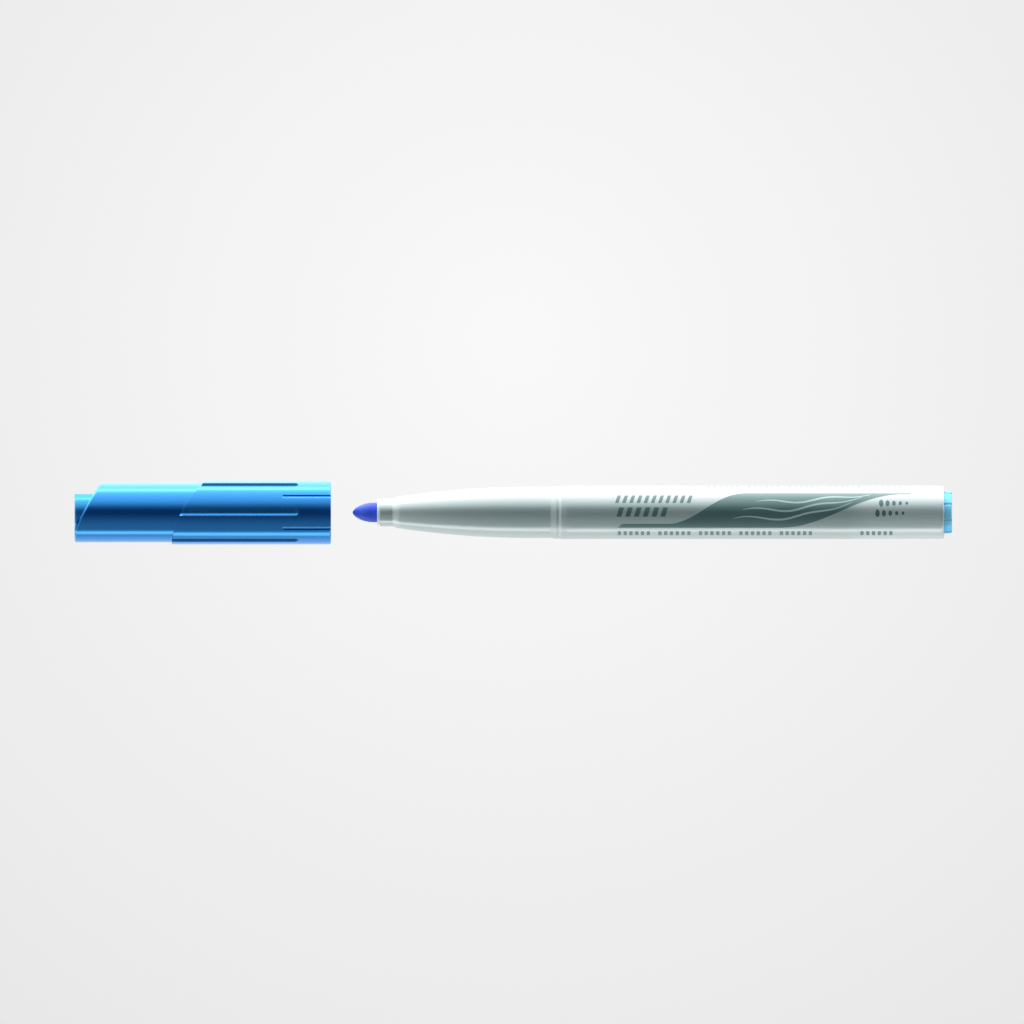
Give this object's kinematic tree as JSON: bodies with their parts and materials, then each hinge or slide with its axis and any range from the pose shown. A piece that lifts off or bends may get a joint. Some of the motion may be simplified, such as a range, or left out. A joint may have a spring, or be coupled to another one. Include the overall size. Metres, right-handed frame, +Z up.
{
  "type": "whiteboard marker",
  "caption": "Slim dry-wipe marker with a bullet nib, a tapered nose, a slotted rear plug and a grooved pull-off cap with a slanted, vented end.",
  "frame": {"origin": "on the marker's axis, in the plane of the barrel's front shoulder, where the rim of the cap stops", "axes": "+X along the marker's axis towards the rear plug, so the nib points to -X; +Z up, with the long side of the cap's slanted end at -Z; the printed side faces -Y"},
  "size_m": [0.1895, 0.0138, 0.0138],
  "materials": {
    "barrel_plastic": "gloss, pale cool grey",
    "cap_plastic": "gloss, mid blue",
    "plug_plastic": "satin gloss, light blue",
    "collar_plastic": "gloss, white",
    "nib_fibre": "matt pressed fibre, soaked with blue ink",
    "reservoir_fibre": "matt fibre bundle, soaked with blue ink",
    "film_plastic": "clear film",
    "print_ink": "dark slate printing ink"
  },
  "bodies": {
    "barrel": {"barrel": "barrel_plastic", "nib": "nib_fibre", "nib_collar": "collar_plastic", "ink_reservoir": "reservoir_fibre", "reservoir_film": "film_plastic", "end_plug": "plug_plastic"},
    "cap": {"cap_shell": "cap_plastic", "cap_inner": "cap_plastic"}
  },
  "joints": [
    {"name": "cap_slide", "type": "slide", "parent": "barrel", "child": "cap", "axis": [1, 0, 0], "range_m": [0, 0.0497]}
  ]
}
